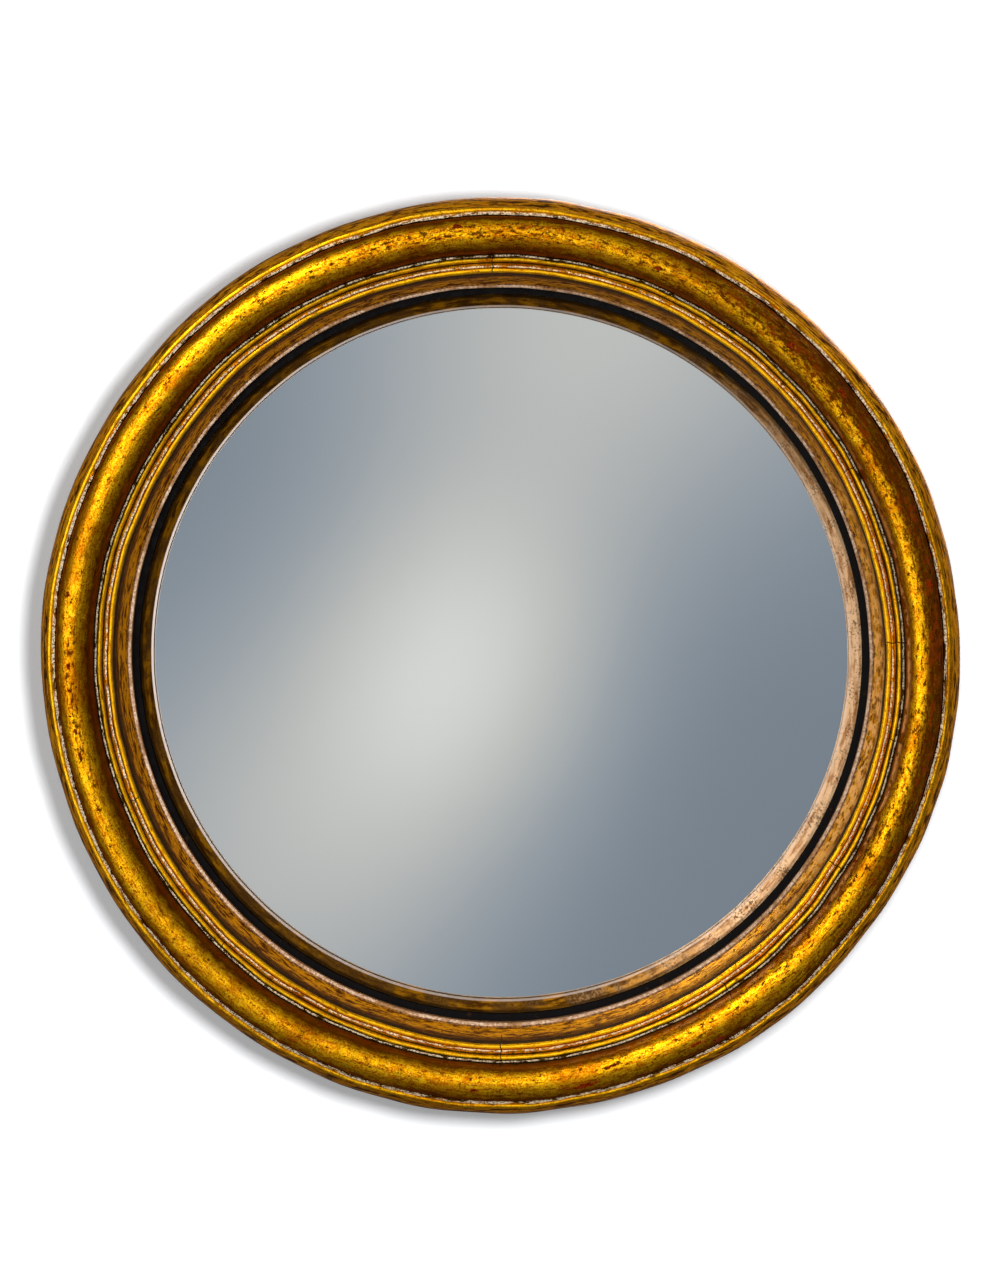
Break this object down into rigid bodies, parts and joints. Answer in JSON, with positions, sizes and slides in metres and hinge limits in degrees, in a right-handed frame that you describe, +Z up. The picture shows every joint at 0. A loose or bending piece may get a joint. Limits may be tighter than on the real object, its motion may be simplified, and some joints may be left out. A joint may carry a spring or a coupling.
{
  "type": "convex mirror",
  "caption": "Round wall mirror with a domed glass in a deep gilded wooden frame with a large roll moulding, small beads, a black slip and a hinged hanging ring on its back.",
  "frame": {"origin": "where the round frame's axis meets the wall: the plane of the two bumpers' outer faces", "axes": "+Y goes back into the wall, the mirror faces -Y, +Z is up, +X is the viewer's right"},
  "size_m": [0.48, 0.07, 0.48],
  "materials": {
    "gilded_wood": "satin",
    "frame_back_wood": "matte",
    "ebonised_wood": "satin",
    "gilded_slip": "satin",
    "mirror_glass": "polished",
    "felt": "matte",
    "cork": "matte",
    "backboard_ply": "matte",
    "brass_screw": "satin",
    "brass_fitting": "satin",
    "brass_ring": "satin",
    "bumper_rubber": "matte"
  },
  "bodies": {
    "mirror": {"front_ring_segment_1": "gilded_wood", "front_ring_segment_2": "gilded_wood", "front_ring_segment_3": "gilded_wood", "front_ring_segment_4": "gilded_wood", "front_ring_segment_5": "gilded_wood", "front_ring_segment_6": "gilded_wood", "front_ring_segment_7": "gilded_wood", "front_ring_segment_8": "gilded_wood", "back_ring_segment_1": "frame_back_wood", "back_ring_segment_2": "frame_back_wood", "back_ring_segment_3": "frame_back_wood", "back_ring_segment_4": "frame_back_wood", "back_ring_segment_5": "frame_back_wood", "back_ring_segment_6": "frame_back_wood", "back_ring_segment_7": "frame_back_wood", "back_ring_segment_8": "frame_back_wood", "ebonised_slip": "ebonised_wood", "gilt_sight_slip": "gilded_slip", "convex_glass": "mirror_glass", "glass_edge_strip": "felt", "glass_pressure_pads": "cork", "backboard": "backboard_ply", "backboard_screws": "brass_screw", "hanger_plate": "brass_fitting", "hanger_screws": "brass_screw", "left_bumper": "bumper_rubber", "right_bumper": "bumper_rubber"},
    "ring": {"hanging_ring": "brass_ring"}
  },
  "joints": [
    {"name": "hanging_ring_hinge", "type": "hinge", "parent": "mirror", "child": "ring", "pos_m": [0, -0.00325, 0.222], "axis": [1, 0, 0], "range_deg": [0, 180]}
  ]
}
